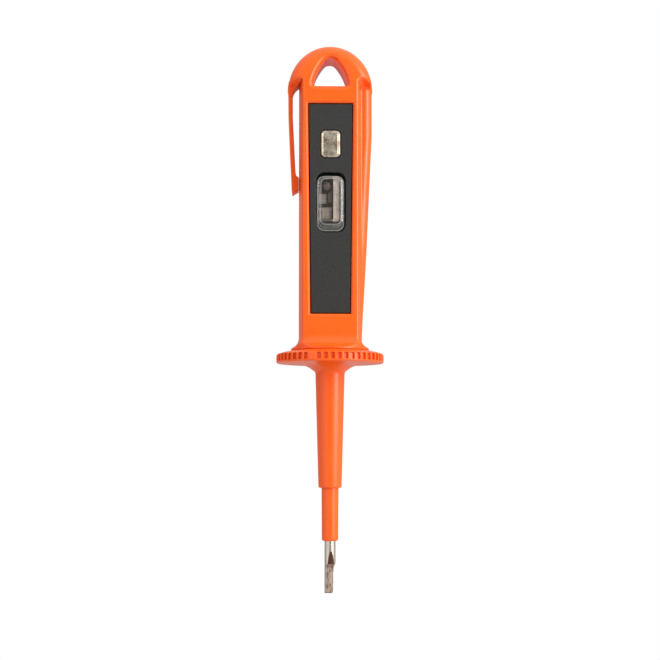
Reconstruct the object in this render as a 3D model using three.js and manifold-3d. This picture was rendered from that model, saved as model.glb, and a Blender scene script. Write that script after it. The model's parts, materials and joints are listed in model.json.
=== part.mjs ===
// Screwdriver-type voltage tester, in millimetres.
// +Z runs along the tool from the blade's flat end to the crown of the handle, -Y is the front with
// the window and the touch pad, and -X is the side of the pocket clip. The origin is the centre of
// the blade's flat end face.
import * as THREE from 'three';
import { mergeVertices } from 'three/addons/utils/BufferGeometryUtils.js';
import Module from 'manifold-3d';

const wasm = await Module();
wasm.setup();

// Driving dimensions
const GAP = 0.3;                    // clearance between neighbouring pieces
const LENGTH = 155.45;              // blade end to crown
const CORE_HALF_WIDTH = 8.8;        // handle core, across the front
const CORE_HALF_DEPTH = 7.0;        // handle core, front to back
const CORE_BOTTOM_Z = 68.5;
const HEAD_HALF_WIDTH = 12.0;       // crown and rails
const HEAD_HALF_DEPTH = 6.6;
const DOME_CENTRE_Z = 142.45;
const RAIL_HALF_DEPTH = 2.5;
const RAIL_FOOT_Z = 72.3;
const CHANNEL_TOP_Z = 143.2;        // end of the channels beside the core
const CHANNEL_RADIUS = 1.3;
const HOLE_BASE_Z = 143.4;          // hang hole
const HOLE_APEX_Z = 152.0;
const HOLE_HALF_WIDTH = 4.9;
const CLIP_ROOT_Z = 141.15;         // where the clip bends
const CLIP_TIP_Z = 112.9;
const CLIP_THICKNESS = 1.3;
const COVER_TOP_Z = 138.15;
const COVER_BOTTOM_Z = 78.5;
const COVER_TOP_HALF_WIDTH = 6.2;
const COVER_BOTTOM_HALF_WIDTH = 5.5;
const COVER_FRONT_Y = -6.4;         // set back from the handle's face
const COVER_THICKNESS = 1.5;
const COVER_BACK_Y = COVER_FRONT_Y + COVER_THICKNESS;
const WINDOW_X = 0.1;               // middle of the window hole
const WINDOW_Z = 109.95;
const WINDOW_WIDTH = 8.4;
const WINDOW_HEIGHT = 17.1;
const LENS_Z = 109.68;
const LENS_WIDTH = 7.6;
const LENS_HEIGHT = 15.7;
const PAD_Z = 126.6;                // touch pad centre
const PAD_WIDTH = 5.4;
const PAD_HEIGHT = 7.6;
const PAD_PROUD = 0.5;              // how far the pad stands out of the cover
const CAVITY_HALF_WIDTH = 5.95;
const CAVITY_BOTTOM_Z = 95.2;
const CAVITY_TOP_Z = 137.6;
const BOARD_FRONT_Y = 0.6;          // printed circuit board
const BOARD_THICKNESS = 1.0;
const BOARD_HALF_WIDTH = 5.6;
const CELL_RADIUS = 3.95;           // LR41 button cell
const CELL_HEIGHT = 3.6;
const CELL_BOTTOM_Z = 86.3;
const FLANGE_RADIUS = 15.3;
const FLANGE_BOTTOM_Z = 65.1;
const FLANGE_TOP_Z = 66.9;
const NOTCH_PITCHES = 50;
const NOTCH_PHASE = 0.16;           // where the first notch stands, in pitches
const PLAIN_PITCH = 47;             // one pitch has no notch
const NOTCH_WIDTH = 1.15;
const SPIGOT_TOP_Z = 77.0;
const THREAD_LEAD = 3.0;
const THREAD_LOW_Z = 70.2;
const THREAD_HIGH_Z = 76.2;
const BORE_RADIUS = 5.9;
const NOSE_BOTTOM_Z = 29.4;
const SLEEVE_BOTTOM_Z = 14.5;
const SLEEVE_RADIUS = 2.42;
const BLADE_RADIUS = 1.55;
const BLADE_TWIST = 12;             // degrees that the blade's ground face turns to the right

// Materials
const ORANGE = { color: 0xff6b2d, roughness: 0.38, metalness: 0 };
const DARK_PLASTIC = { color: 0x3f3d3a, roughness: 0.6, metalness: 0 };
const CLEAR = { color: 0xdfe4e2, roughness: 0.08, metalness: 0, transparent: true, opacity: 0.35 };
const WHITE_PLASTIC = { color: 0xd8d6cf, roughness: 0.5, metalness: 0 };
const NICKEL = { color: 0xcfc5bd, roughness: 0.3, metalness: 1 };
const STEEL = { color: 0xb9b7b2, roughness: 0.28, metalness: 1 };
const BRASS = { color: 0xb5974f, roughness: 0.35, metalness: 1 };
const BOARD_GREEN = { color: 0x24593a, roughness: 0.5, metalness: 0 };
const CHIP_BLACK = { color: 0x1b1b1c, roughness: 0.55, metalness: 0 };
const CERAMIC = { color: 0xb9a98a, roughness: 0.7, metalness: 0 };
const LED_RED = { color: 0xc43a30, roughness: 0.15, metalness: 0 };
const LED_GREEN = { color: 0x7f9a83, roughness: 0.2, metalness: 0 };

// Welds a geometry into an indexed one that holds only positions, without collapsed triangles.
function weld(geometry) {
  const bare = new THREE.BufferGeometry();
  bare.setAttribute('position', geometry.attributes.position.clone());
  if (geometry.index) bare.setIndex(geometry.index.clone());
  const merged = mergeVertices(bare, 1e-4);
  const source = merged.index.array;
  const kept = [];
  for (let i = 0; i < source.length; i += 3) {
    const [a, b, c] = [source[i], source[i + 1], source[i + 2]];
    if (a !== b && b !== c && c !== a) kept.push(a, b, c);
  }
  merged.setIndex(kept);
  return merged;
}

function signedVolume(geometry) {
  const place = geometry.attributes.position;
  const index = geometry.index.array;
  const [a, b, c] = [new THREE.Vector3(), new THREE.Vector3(), new THREE.Vector3()];
  let volume = 0;
  for (let i = 0; i < index.length; i += 3) {
    a.fromBufferAttribute(place, index[i]);
    b.fromBufferAttribute(place, index[i + 1]);
    c.fromBufferAttribute(place, index[i + 2]);
    volume += a.dot(b.cross(c)) / 6;
  }
  return volume;
}

// A welded geometry as a manifold solid, with its faces turned outward.
function solid(geometry) {
  const welded = weld(geometry);
  const index = Uint32Array.from(welded.index.array);
  if (signedVolume(welded) < 0) index.reverse();
  const vertProperties = Float32Array.from(welded.attributes.position.array);
  return new wasm.Manifold(new wasm.Mesh({ numProp: 3, vertProperties, triVerts: index }));
}

function geometryOf(body) {
  const mesh = body.getMesh();
  const geometry = new THREE.BufferGeometry();
  geometry.setAttribute('position', new THREE.BufferAttribute(mesh.vertProperties, 3));
  geometry.setIndex(new THREE.BufferAttribute(mesh.triVerts, 1));
  return geometry;
}

const join = (...bodies) => bodies.reduce((a, b) => a.add(b));
const cut = (body, ...tools) => tools.reduce((a, b) => a.subtract(b), body);

// A box between two corners.
function block(low, high) {
  const size = high.map((value, i) => value - low[i]);
  const geometry = new THREE.BoxGeometry(...size);
  geometry.translate(...low.map((value, i) => value + size[i] / 2));
  return solid(geometry);
}

function extruded(shape, depth, bevel, curveSegments) {
  const options = { depth, curveSegments, bevelEnabled: bevel > 0 };
  if (bevel > 0) {
    options.depth = depth - 2 * bevel;
    options.bevelSize = bevel;
    options.bevelThickness = bevel;
    options.bevelOffset = -bevel;
    options.bevelSegments = 3;
  }
  const geometry = new THREE.ExtrudeGeometry(shape, options);
  geometry.translate(0, 0, bevel);
  return geometry;
}

// An outline drawn in X and Y, run along Z.
function prismZ(shape, low, high, bevel = 0, curveSegments = 6) {
  return solid(extruded(shape, high - low, bevel, curveSegments).translate(0, 0, low));
}

// An outline drawn in X and Z, run along Y.
function prismY(shape, low, high, bevel = 0, curveSegments = 8) {
  const geometry = extruded(shape, high - low, bevel, curveSegments);
  return solid(geometry.rotateX(Math.PI / 2).translate(0, high, 0));
}

// A closed outline of radius and Z, turned about the Z axis.
function turned(profile, segments = 32) {
  const points = profile.map(([r, z]) => new THREE.Vector2(r, z));
  return solid(new THREE.LatheGeometry(points, segments).rotateX(Math.PI / 2));
}

// A disc or rod on the Z axis, with an optional bore.
function ring(outer, low, high, inner = 0, segments = 32) {
  const profile = [[inner, low], [outer, low], [outer, high], [inner, high]];
  if (inner > 0) profile.push([inner, low]);
  return turned(profile, segments);
}

function roundedRectangle(halfWidth, halfHeight, radius, x = 0, y = 0) {
  const shape = new THREE.Shape();
  const [left, right] = [x - halfWidth + radius, x + halfWidth - radius];
  const [low, high] = [y - halfHeight + radius, y + halfHeight - radius];
  shape.absarc(right, low, radius, -Math.PI / 2, 0);
  shape.absarc(right, high, radius, 0, Math.PI / 2);
  shape.absarc(left, high, radius, Math.PI / 2, Math.PI);
  shape.absarc(left, low, radius, Math.PI, Math.PI * 1.5);
  shape.closePath();
  return shape;
}

// A wire wound about the Z axis: a round section swept along a helix.
class Helix extends THREE.Curve {
  constructor(radius, low, high, turns) {
    super();
    Object.assign(this, { radius, low, high, turns });
  }

  getPoint(t, target = new THREE.Vector3()) {
    const angle = t * this.turns * Math.PI * 2;
    const z = this.low + t * (this.high - this.low);
    return target.set(this.radius * Math.cos(angle), this.radius * Math.sin(angle), z);
  }
}

function swept(curve, wire, steps, sides = 6) {
  const section = new THREE.Shape();
  for (let i = 0; i < sides; i += 1) {
    const angle = (i / sides) * Math.PI * 2;
    const [x, y] = [wire * Math.cos(angle), wire * Math.sin(angle)];
    if (i === 0) section.moveTo(x, y);
    else section.lineTo(x, y);
  }
  return solid(new THREE.ExtrudeGeometry(section, { extrudePath: curve, steps, bevelEnabled: false }));
}

function coil(radius, wire, low, high, turns) {
  const curve = new Helix(radius, low + wire, high - wire, turns);
  return swept(curve, wire, Math.round(turns * 12));
}

const scene = new THREE.Group();

function addPart(name, body, look) {
  const material = new THREE.MeshStandardMaterial(look);
  const mesh = new THREE.Mesh(geometryOf(body), material);
  mesh.name = name;
  scene.add(mesh);
}

// ---- Handle -------------------------------------------------------------------------------

// Half width of the rails at a height: straight beside the head, then narrowing to the core.
function railHalfWidth(z) {
  const straight = 130;
  if (z >= straight) return HEAD_HALF_WIDTH - 0.1 * (DOME_CENTRE_Z - z) / (DOME_CENTRE_Z - straight);
  const t = (straight - z) / (straight - RAIL_FOOT_Z);
  return HEAD_HALF_WIDTH - 0.1 - t * (HEAD_HALF_WIDTH - 0.1 - CORE_HALF_WIDTH);
}

// The crown of the handle: half an ellipse on a short straight skirt that ends above the clip.
function crown() {
  const skirt = DOME_CENTRE_Z - 5;
  const shape = new THREE.Shape();
  shape.moveTo(-HEAD_HALF_WIDTH, skirt);
  shape.lineTo(HEAD_HALF_WIDTH, skirt);
  shape.lineTo(HEAD_HALF_WIDTH, DOME_CENTRE_Z);
  shape.absellipse(0, DOME_CENTRE_Z, HEAD_HALF_WIDTH, LENGTH - DOME_CENTRE_Z, 0, Math.PI, false, 0);
  shape.closePath();
  const whole = prismY(shape, -HEAD_HALF_DEPTH, HEAD_HALF_DEPTH, 1.5, 14);
  const [side, front] = [HEAD_HALF_WIDTH + 1, HEAD_HALF_DEPTH + 1];
  return cut(whole, block([-side, -front, skirt - 1], [side, front, CLIP_ROOT_Z + GAP / 2]));
}

// The solid right-hand rail, seen from the front.
function railOutline() {
  const shape = new THREE.Shape();
  shape.moveTo(CORE_HALF_WIDTH - 1, RAIL_FOOT_Z);
  shape.lineTo(railHalfWidth(RAIL_FOOT_Z), RAIL_FOOT_Z);
  shape.lineTo(railHalfWidth(130), 130);
  shape.lineTo(railHalfWidth(DOME_CENTRE_Z), DOME_CENTRE_Z);
  shape.lineTo(CORE_HALF_WIDTH - 1, DOME_CENTRE_Z);
  shape.closePath();
  return shape;
}

// The slot between the clip's root and the core, with its sloped upper end.
function clipSlot() {
  const shape = new THREE.Shape();
  shape.moveTo(-CORE_HALF_WIDTH, CLIP_ROOT_Z - 1);
  shape.lineTo(-CORE_HALF_WIDTH, CHANNEL_TOP_Z + 1.3);
  shape.lineTo(-CORE_HALF_WIDTH - 0.6, CHANNEL_TOP_Z + 1);
  shape.lineTo(-HEAD_HALF_WIDTH + CLIP_THICKNESS, CHANNEL_TOP_Z - 0.6);
  shape.lineTo(-HEAD_HALF_WIDTH + CLIP_THICKNESS, CLIP_ROOT_Z - 1);
  shape.closePath();
  return prismY(shape, -RAIL_HALF_DEPTH - 0.5, RAIL_HALF_DEPTH + 0.5);
}

// Round-ended channel beside the core, cut from the front or the back of the head.
function channel(side, low, high) {
  const radius = CHANNEL_RADIUS;
  const middle = side * (CORE_HALF_WIDTH + radius);
  const shape = new THREE.Shape();
  const edge = side * (HEAD_HALF_WIDTH + 1);
  const inner = side * CORE_HALF_WIDTH;
  shape.moveTo(inner, RAIL_FOOT_Z - 1);
  shape.lineTo(edge, RAIL_FOOT_Z - 1);
  shape.lineTo(edge, CHANNEL_TOP_Z - 1);
  shape.lineTo(middle + side * radius, CHANNEL_TOP_Z);
  if (side > 0) shape.absarc(middle, CHANNEL_TOP_Z, radius, 0, Math.PI, false);
  else shape.absarc(middle, CHANNEL_TOP_Z, radius, Math.PI, 0, true);
  shape.closePath();
  return prismY(shape, low, high);
}

// Rounded triangle through the crown.
function hangHole() {
  const corner = 1.1;
  const lean = 0.25;
  const [cornerX, cornerZ] = [HOLE_HALF_WIDTH - corner, HOLE_BASE_Z + corner];
  const [bowX, bowZ] = [HOLE_HALF_WIDTH - 1.3, HOLE_APEX_Z - 3.7];
  const [tipX, tipZ] = [1.2, HOLE_APEX_Z - 0.9];
  const shape = new THREE.Shape();
  shape.absarc(cornerX, cornerZ, corner, -Math.PI / 2, lean);
  shape.quadraticCurveTo(bowX, bowZ, tipX, tipZ);
  shape.quadraticCurveTo(0, HOLE_APEX_Z + 0.9, -tipX, tipZ);
  shape.quadraticCurveTo(-bowX, bowZ, -cornerX - corner * Math.cos(lean), cornerZ + corner * Math.sin(lean));
  shape.absarc(-cornerX, cornerZ, corner, Math.PI - lean, Math.PI * 1.5);
  shape.closePath();
  return prismY(shape, -CORE_HALF_DEPTH - 1, CORE_HALF_DEPTH + 1);
}

// The cover's outline, grown by a margin for its seat in the handle.
function coverOutline(margin) {
  const [low, high] = [COVER_BOTTOM_Z - margin, COVER_TOP_Z + margin];
  const shape = new THREE.Shape();
  shape.moveTo(-COVER_BOTTOM_HALF_WIDTH - margin, low);
  shape.lineTo(COVER_BOTTOM_HALF_WIDTH + margin, low);
  shape.lineTo(COVER_TOP_HALF_WIDTH + margin, high);
  shape.lineTo(-COVER_TOP_HALF_WIDTH - margin, high);
  shape.closePath();
  return shape;
}

// The ridge of a screw thread, wound from one height to another.
function threadRidge(radius, low, high) {
  const turns = (high - low) / THREAD_LEAD;
  return swept(new Helix(radius, low, high, turns), 0.45, Math.round(turns * 20), 6);
}

const LEDGE_Y = BOARD_FRONT_Y + BOARD_THICKNESS + GAP;

function handleHousing() {
  const core = prismZ(roundedRectangle(CORE_HALF_WIDTH, CORE_HALF_DEPTH, 1.2), 69.5, 147);
  const rail = prismY(railOutline(), -RAIL_HALF_DEPTH, RAIL_HALF_DEPTH);
  const flare = turned([[0, CORE_BOTTOM_Z], [11.1, CORE_BOTTOM_Z], [11.1, 68.75], [10.3, 69.2],
    [9.6, 70.0], [9.1, 71.0], [8.7, 71.9], [8.0, 72.6], [7.0, 73.2], [0, 73.2]], 36);
  const channels = [clipSlot()];
  for (const side of [-1, 1]) {
    channels.push(channel(side, -CORE_HALF_DEPTH - 1, -RAIL_HALF_DEPTH));
    channels.push(channel(side, RAIL_HALF_DEPTH, CORE_HALF_DEPTH + 1));
  }
  const outside = join(core, cut(join(crown(), rail), ...channels), flare);

  const coverSeat = prismY(coverOutline(GAP), -CORE_HALF_DEPTH - 1, COVER_BACK_Y + GAP);
  const threadBore = ring(BORE_RADIUS, CORE_BOTTOM_Z - 1, SPIGOT_TOP_Z + 0.4, 0, 36);
  const cellBore = ring(CELL_RADIUS + 0.35, SPIGOT_TOP_Z, CAVITY_BOTTOM_Z + 1, 0, 30);
  const boardRoom = block([-CAVITY_HALF_WIDTH, COVER_BACK_Y, CAVITY_BOTTOM_Z],
    [CAVITY_HALF_WIDTH, LEDGE_Y, CAVITY_TOP_Z]);
  const backRoom = block([-4.6, LEDGE_Y - 0.1, CAVITY_BOTTOM_Z], [4.6, 5.4, CAVITY_TOP_Z]);
  const hollow = cut(outside, coverSeat, threadBore, cellBore, boardRoom, backRoom, hangHole());
  const thread = threadRidge(BORE_RADIUS - 0.1, THREAD_LOW_Z + 0.2, THREAD_HIGH_Z - 0.2);
  return join(hollow, thread);
}

// A flexing strip beside the core, with an inward pad and a pointed tip.
function pocketClip() {
  const top = CLIP_ROOT_Z - GAP / 2;
  const outerTop = -HEAD_HALF_WIDTH;
  const outerTip = -10.95;
  const padInner = -CORE_HALF_WIDTH - GAP;
  const padTop = 117.8;
  const padBottom = 113.9;
  const shape = new THREE.Shape();
  shape.moveTo(outerTop, top);
  shape.lineTo(outerTop + 0.1, 134);
  shape.lineTo(outerTip, 114.5);
  shape.lineTo(outerTip + 0.35, CLIP_TIP_Z);
  shape.lineTo(outerTip + 0.9, padBottom - 0.4);
  shape.lineTo(padInner, padBottom);
  shape.lineTo(padInner, padTop);
  shape.lineTo(outerTip + CLIP_THICKNESS - 0.3, padTop + 0.6);
  shape.lineTo(outerTip + CLIP_THICKNESS - 0.45, padTop + 1.4);
  shape.lineTo(outerTop + 0.1 + CLIP_THICKNESS, 134);
  shape.lineTo(outerTop + CLIP_THICKNESS, top);
  shape.closePath();
  return prismY(shape, -RAIL_HALF_DEPTH, RAIL_HALF_DEPTH);
}

// ---- Front cover, window and touch pad -----------------------------------------------------

function frontCover() {
  const plate = prismY(coverOutline(0), COVER_FRONT_Y, COVER_BACK_Y);
  const ribs = [-1, 1].map((side) => {
    const [a, b] = [side * 4.8, side * 5.5];
    return block([Math.min(a, b), COVER_BACK_Y - 0.2, 97], [Math.max(a, b), BOARD_FRONT_Y - GAP, 136]);
  });
  const [front, back] = [COVER_FRONT_Y - 1, COVER_BACK_Y + 1];
  const windowOutline = roundedRectangle(WINDOW_WIDTH / 2, WINDOW_HEIGHT / 2, 2.4, WINDOW_X, WINDOW_Z);
  const padOutline = roundedRectangle(PAD_WIDTH / 2 + GAP, PAD_HEIGHT / 2 + GAP, 1.5, 0, PAD_Z);
  return cut(join(plate, ...ribs), prismY(windowOutline, front, back), prismY(padOutline, front, back));
}

// A flat frame with a raised block over the lights.
function windowLens() {
  const frame = roundedRectangle(LENS_WIDTH / 2, LENS_HEIGHT / 2, 2, 0, LENS_Z);
  const raised = roundedRectangle(2.82, 6.5, 1.4, 0.11, 110.2);
  return join(prismY(frame, COVER_FRONT_Y + 0.6, COVER_BACK_Y),
    prismY(raised, COVER_FRONT_Y + 0.05, COVER_FRONT_Y + 1));
}

const PAD_BACK_Y = COVER_BACK_Y + 1;

// A stud with a shallow dish in its face and a shoulder behind the cover.
function touchPad() {
  const faceY = COVER_FRONT_Y - PAD_PROUD;
  const face = prismY(roundedRectangle(PAD_WIDTH / 2, PAD_HEIGHT / 2, 1.2, 0, PAD_Z), faceY, PAD_BACK_Y);
  const dish = prismY(roundedRectangle(PAD_WIDTH / 2 - 0.6, PAD_HEIGHT / 2 - 0.6, 0.8, 0, PAD_Z),
    faceY - 1, faceY + 0.2);
  const shoulder = prismY(roundedRectangle(PAD_WIDTH / 2 + 0.8, PAD_HEIGHT / 2 + 0.8, 1.6, 0, PAD_Z),
    COVER_BACK_Y + GAP, PAD_BACK_Y);
  return join(cut(face, dish), shoulder);
}

// ---- Circuit board and what it carries -----------------------------------------------------

function alongY(body, x, z, y) {
  return body.rotate([-90, 0, 0]).translate([x, y, z]);
}

function ledBody(radius, length) {
  const round = [];
  for (let i = 1; i <= 4; i += 1) {
    const angle = (i / 4) * Math.PI / 2;
    round.push([radius * Math.cos(angle), -(length - radius) - radius * Math.sin(angle)]);
  }
  return turned([[0, 0], [radius + 0.1, 0], [radius + 0.1, -0.7], [radius, -0.7],
    [radius, -(length - radius)], ...round.slice(0, -1), [0, -length]].reverse(), 20);
}

const PARTS_BASE_Y = BOARD_FRONT_Y - GAP;    // feet of the parts on the board's front
const PARTS_BACK_Y = BOARD_FRONT_Y + BOARD_THICKNESS + GAP;

function circuitBoard() {
  const outline = new THREE.Shape();
  outline.moveTo(-BOARD_HALF_WIDTH, 96);
  outline.lineTo(BOARD_HALF_WIDTH, 96);
  outline.lineTo(BOARD_HALF_WIDTH, 137);
  outline.lineTo(-BOARD_HALF_WIDTH, 137);
  outline.closePath();
  return prismY(outline, BOARD_FRONT_Y, BOARD_FRONT_Y + BOARD_THICKNESS);
}

// A frame round the lights, with a broad white wall on its right.
function reflectorTray() {
  const outer = prismY(roundedRectangle(2.93, 6.3, 0.5, -0.38, 111.0), -4.5, PARTS_BASE_Y);
  const pocket = prismY(roundedRectangle(1.81, 5.85, 0.2, -1.03, 111.1), -6, 1);
  return cut(outer, pocket);
}

// ---- Nose ----------------------------------------------------------------------------------

function noseCollar() {
  const body = turned([[0, NOSE_BOTTOM_Z], [3.05, NOSE_BOTTOM_Z], [3.3, NOSE_BOTTOM_Z + 0.4],
    [4.15, 61.4], [4.4, 62.6], [5.1, 63.5], [6.1, 64.0], [7.2, 64.15], [7.2, 65], [0, 65]], 32);
  const flange = turned([[0, 64.1], [6.9, 64.1], [14.7, 64.6], [15.15, 64.8],
    [FLANGE_RADIUS, FLANGE_BOTTOM_Z], [FLANGE_RADIUS, FLANGE_TOP_Z], [14.8, 67.3], [13.5, 67.7],
    [11.1, 68.2], [0, 68.2]], NOTCH_PITCHES);
  const spigot = ring(4.5, 68, SPIGOT_TOP_Z, 0, 32);
  const thread = threadRidge(4.6, THREAD_LOW_Z - 0.6, THREAD_HIGH_Z - 0.6);
  const notch = block([-NOTCH_WIDTH / 2, -FLANGE_RADIUS - 1, FLANGE_BOTTOM_Z + 0.2],
    [NOTCH_WIDTH / 2, -FLANGE_RADIUS + 0.6, FLANGE_TOP_Z + 0.2]);
  const notches = [];
  for (let i = 0; i < NOTCH_PITCHES; i += 1) {
    const turn = (i + NOTCH_PHASE) * 360 / NOTCH_PITCHES;
    if (i !== PLAIN_PITCH) notches.push(notch.rotate([0, 0, turn]));
  }
  const sleeveSeat = ring(SLEEVE_RADIUS + GAP, NOSE_BOTTOM_Z - 1, 33.8, 0, 24);
  const bladeBore = ring(BLADE_RADIUS + GAP, 33, 41, 0, 24);
  const rearBore = ring(2.0, 40.6, SPIGOT_TOP_Z + 1, 0, 24);
  return cut(join(body, flange, spigot, thread), ...notches, sleeveSeat, bladeBore, rearBore);
}

function bladeInsulation() {
  const inner = BLADE_RADIUS + GAP;
  const low = SLEEVE_RADIUS - 0.1;
  return turned([[inner, SLEEVE_BOTTOM_Z], [low - 0.2, SLEEVE_BOTTOM_Z], [low, SLEEVE_BOTTOM_Z + 0.3],
    [SLEEVE_RADIUS, NOSE_BOTTOM_Z], [SLEEVE_RADIUS, 33.5], [inner, 33.5], [inner, SLEEVE_BOTTOM_Z]], 24);
}

// What the grinding takes off one side of the bar: everything beyond [distance from the axis, Z].
function groundOff(profile, turn) {
  const shape = new THREE.Shape();
  shape.moveTo(3, -1);
  profile.forEach(([distance, z]) => shape.lineTo(distance, z));
  shape.lineTo(3, profile.at(-1)[1]);
  shape.closePath();
  return prismY(shape, -3, 3).rotate([0, 0, turn]);
}

// Round bar, ground to a flat driver end: a ramp and a face in front, a bevel behind, and the
// right-hand edge set back.
function screwdriverBlade() {
  const bar = ring(BLADE_RADIUS, 0, 40.3, 0, 28);
  const front = groundOff([[0.85, -1], [0.95, 7.1], [1.1, 7.9], [1.18, 8.4], [1.6, 12.1]], -90);
  const back = groundOff([[0.1, -1], [0.12, 0], [0.5, 5], [1.6, 11.5]], 90);
  const edge = groundOff([[0.66, -1], [0.68, 0], [0.8, 4.5], [1.12, 7.8], [1.6, 8.7]], 0);
  return cut(bar, front, back, edge).rotate([0, 0, BLADE_TWIST]);
}

// ---- Assembly ------------------------------------------------------------------------------

addPart('handle_housing', handleHousing(), ORANGE);
addPart('pocket_clip', pocketClip(), ORANGE);
addPart('front_cover', frontCover(), DARK_PLASTIC);
addPart('window_lens', windowLens(), CLEAR);
addPart('touch_pad', touchPad(), NICKEL);
addPart('circuit_board', circuitBoard(), BOARD_GREEN);
addPart('reflector_tray', reflectorTray(), WHITE_PLASTIC);
addPart('led_red', alongY(ledBody(1.35, 4.4), -1.0, 114.95, PARTS_BASE_Y), LED_RED);
addPart('led_green', block([-0.55, -3.9, 110.2], [0.4, PARTS_BASE_Y, 112.9]), LED_GREEN);
addPart('smd_capacitor', block([-2.5, -3.0, 110.0], [-0.9, PARTS_BASE_Y, 112.7]), CERAMIC);
addPart('resonator', block([-2.4, -3.4, 105.6], [0.4, PARTS_BASE_Y, 108.8]), CERAMIC);
addPart('amplifier_chip', block([-2.0, PARTS_BACK_Y, 103], [2.0, PARTS_BACK_Y + 1.4, 108]), CHIP_BLACK);
addPart('smd_resistor_upper', block([-1.0, PARTS_BACK_Y, 112], [1.0, PARTS_BACK_Y + 0.5, 113.2]), CHIP_BLACK);
addPart('smd_resistor_lower', block([-1.0, PARTS_BACK_Y, 115], [1.0, PARTS_BACK_Y + 0.5, 116.2]), CHIP_BLACK);

const touchSpring = coil(1.1, 0.17, 0, PARTS_BASE_Y - PAD_BACK_Y - GAP, 4);
addPart('touch_spring', alongY(touchSpring, 0, PAD_Z, PAD_BACK_Y + GAP), STEEL);

const contactZ = CELL_BOTTOM_Z + 2 * CELL_HEIGHT + 2 * GAP;
const leaf = join(ring(3.3, contactZ, contactZ + 0.4, 0, 24),
  block([-1.2, PARTS_BASE_Y - 0.4, contactZ], [1.2, PARTS_BASE_Y, contactZ + 6]));
addPart('battery_contact', leaf, BRASS);
for (const [name, order] of [['battery_cell_lower', 0], ['battery_cell_upper', 1]]) {
  const low = CELL_BOTTOM_Z + order * (CELL_HEIGHT + GAP);
  const can = [[0, low], [2.9, low], [2.9, low + 0.4], [CELL_RADIUS, low + 0.4],
    [CELL_RADIUS, low + CELL_HEIGHT], [0, low + CELL_HEIGHT]];
  addPart(name, turned(can, 30), STEEL);
}
addPart('contact_spring', coil(2.9, 0.25, SPIGOT_TOP_Z + 1.3, CELL_BOTTOM_Z - GAP, 5), STEEL);

addPart('nose_collar', noseCollar(), ORANGE);
addPart('blade_insulation', bladeInsulation(), ORANGE);
addPart('screwdriver_blade', screwdriverBlade(), NICKEL);
addPart('blade_spring', coil(1.3, 0.2, 40.6, 45.3, 4), STEEL);
addPart('resistor_cap_front', ring(1.6, 45.6, 47.6, 0, 20), STEEL);
addPart('series_resistor', ring(1.45, 47.9, 55.3, 0, 20), CERAMIC);
addPart('resistor_cap_rear', ring(1.6, 55.6, 57.6, 0, 20), STEEL);
const pin = turned([[0, 57.9], [0.8, 57.9], [0.8, SPIGOT_TOP_Z + GAP], [3.2, SPIGOT_TOP_Z + GAP],
  [3.2, SPIGOT_TOP_Z + 1], [0, SPIGOT_TOP_Z + 1]], 24);
addPart('nose_contact', pin, BRASS);

export default scene;
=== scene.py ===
"""Looks of the voltage tester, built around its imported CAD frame.

Lengths are millimetres in the part's frame until a mesh is made, which turns them into metres.
The moulded pieces are drawn as signed distance fields: negative inside, positive outside. Rounded
edges and coves come from how two fields are joined, and one mesher turns every field into a mesh.
"""
import json
import math

import bpy
import numpy as np
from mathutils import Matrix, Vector


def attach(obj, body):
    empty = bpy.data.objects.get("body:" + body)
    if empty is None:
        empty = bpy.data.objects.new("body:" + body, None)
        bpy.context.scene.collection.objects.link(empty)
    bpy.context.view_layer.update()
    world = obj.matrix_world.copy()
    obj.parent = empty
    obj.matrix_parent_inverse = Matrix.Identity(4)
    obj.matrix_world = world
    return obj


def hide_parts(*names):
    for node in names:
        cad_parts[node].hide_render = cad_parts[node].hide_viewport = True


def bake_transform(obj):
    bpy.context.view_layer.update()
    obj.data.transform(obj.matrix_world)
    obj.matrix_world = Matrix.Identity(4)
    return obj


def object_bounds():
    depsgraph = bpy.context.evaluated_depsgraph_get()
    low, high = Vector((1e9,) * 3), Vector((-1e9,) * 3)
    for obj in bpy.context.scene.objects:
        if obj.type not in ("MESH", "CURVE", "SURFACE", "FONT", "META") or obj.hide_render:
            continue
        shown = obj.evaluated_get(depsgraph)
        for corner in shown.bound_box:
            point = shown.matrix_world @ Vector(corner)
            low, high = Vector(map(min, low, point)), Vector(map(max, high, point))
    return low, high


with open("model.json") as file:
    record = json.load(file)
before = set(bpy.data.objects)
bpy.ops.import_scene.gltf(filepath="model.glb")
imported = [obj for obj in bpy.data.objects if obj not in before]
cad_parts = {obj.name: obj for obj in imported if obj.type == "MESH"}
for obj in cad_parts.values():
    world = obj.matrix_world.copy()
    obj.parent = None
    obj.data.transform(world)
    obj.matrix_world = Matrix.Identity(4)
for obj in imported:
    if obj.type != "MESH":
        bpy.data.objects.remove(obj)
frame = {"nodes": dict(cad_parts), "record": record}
cad_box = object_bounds()

MM = 0.001

# Handle
LENGTH = cad_box[1][2] / MM
CORE_HALF_WIDTH = 8.9
CORE_HALF_DEPTH = 7.0
CORE_DRAFT = 0.9
CORE_CROWNING = 0.15
CORE_EDGE = 0.75
CORE_BOTTOM_Z = 68.24
CORE_TOP_Z = 145.0
HEAD_HALF_WIDTH = 12.0
HEAD_EDGE = 3.2
HEAD_THINNING = 1.1
DOME_CENTRE_Z = 142.45
CROWN_FOOT_Z = 141.15
RAIL_HALF_DEPTH = 2.5
RAIL_FOOT_Z = 72.3
RAIL_STRAIGHT_Z = 130.0
RAIL_BULGE = 1.5
RAIL_ROOT_X = 5.0
RAIL_EDGE = 2.2
RAIL_COVE = 0.7
FLARE_RADIUS = 11.1
FLARE_FOOT_Z = 68.8
COVE_RADIUS = 3.1
COVE_WIDENING = 1.0
CHANNEL_RADIUS = 1.35
CHANNEL_END_Z = 142.4
CHANNEL_SLOPE = 0.49
CLIP_INNER_X = -10.7
CLIP_ROOT_BEND = 2.6
CLIP_ROOT_SLOPE = 0.87
CLIP_ROUNDING = 0.2
CLIP_EDGE = 0.35
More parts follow.
